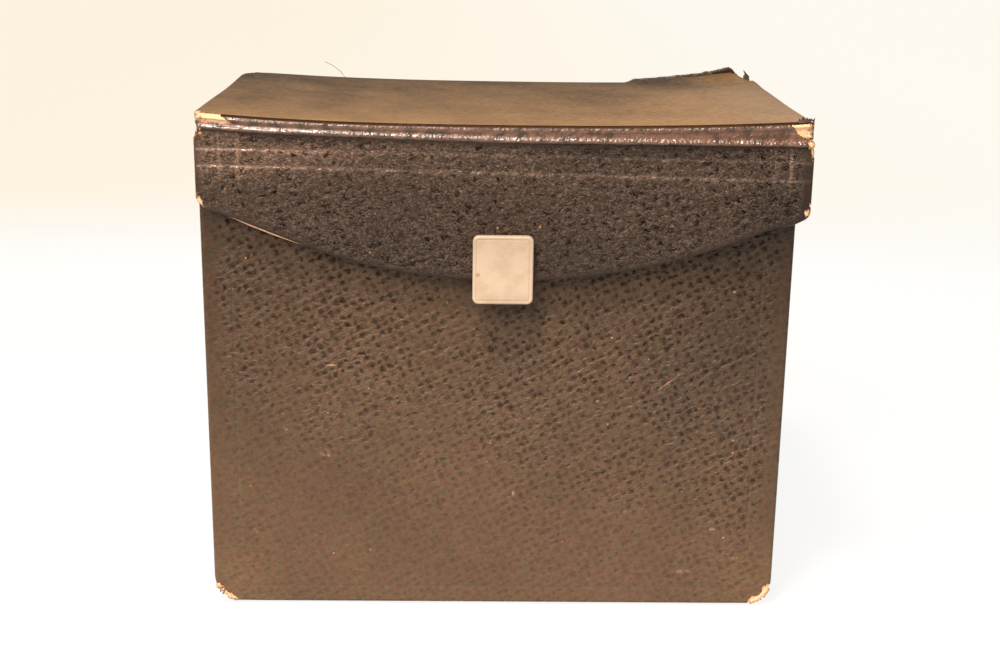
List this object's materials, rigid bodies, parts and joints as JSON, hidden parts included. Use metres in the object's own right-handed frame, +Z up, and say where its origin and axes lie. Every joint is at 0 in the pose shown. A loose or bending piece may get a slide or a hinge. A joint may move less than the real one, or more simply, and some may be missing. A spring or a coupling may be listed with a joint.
{
  "type": "archival box",
  "caption": "Upright board storage box covered in dark embossed leatherette, with a cloth-hinged lid, a curved front flap and a press-stud clasp plate.",
  "frame": {"origin": "centre of the base's flat face, which stands on the table", "axes": "+X to the right seen from the front, along the box's width; +Y from the front to the hinged back; +Z up"},
  "size_m": [0.173, 0.102, 0.148],
  "materials": {
    "leatherette": "satin",
    "strawboard": "matte",
    "lining_paper": "matte",
    "kraft_paper": "matte",
    "linen": "matte",
    "ivory_plate": "satin",
    "nickelled_steel": "satin"
  },
  "bodies": {
    "case": {"floor_board": "strawboard", "front_wall_board": "strawboard", "back_wall_board": "strawboard", "left_wall_board": "strawboard", "right_wall_board": "strawboard", "corner_stay_front_left": "kraft_paper", "corner_stay_front_right": "kraft_paper", "corner_stay_back_left": "kraft_paper", "corner_stay_back_right": "kraft_paper", "case_covering": "leatherette", "base_sheet": "leatherette", "wall_lining": "lining_paper", "floor_lining": "lining_paper", "stud_post": "nickelled_steel", "stud_rivet": "nickelled_steel", "stud_washer": "nickelled_steel", "rear_hinge_cloth": "leatherette", "inner_hinge_cloth": "linen"},
    "lid": {"lid_board": "strawboard", "lid_covering": "leatherette", "lid_lining": "lining_paper", "front_joint_strip": "leatherette"},
    "flap": {"flap_board": "strawboard", "flap_covering": "leatherette", "flap_lining": "lining_paper", "clasp_plate": "ivory_plate", "clasp_backing": "nickelled_steel", "snap_socket": "nickelled_steel", "snap_spring": "nickelled_steel"}
  },
  "joints": [
    {"name": "lid_hinge", "type": "hinge", "parent": "case", "child": "lid", "pos_m": [0, 0.04715, 0.1432], "axis": [-1, 0, 0], "range_deg": [0, 165], "deforming": ["rear_hinge_cloth", "inner_hinge_cloth"]},
    {"name": "flap_hinge", "type": "hinge", "parent": "lid", "child": "flap", "pos_m": [0.0015, -0.05195, 0.1432], "axis": [-1, 0, 0], "range_deg": [0, 160], "deforming": ["front_joint_strip"]}
  ]
}
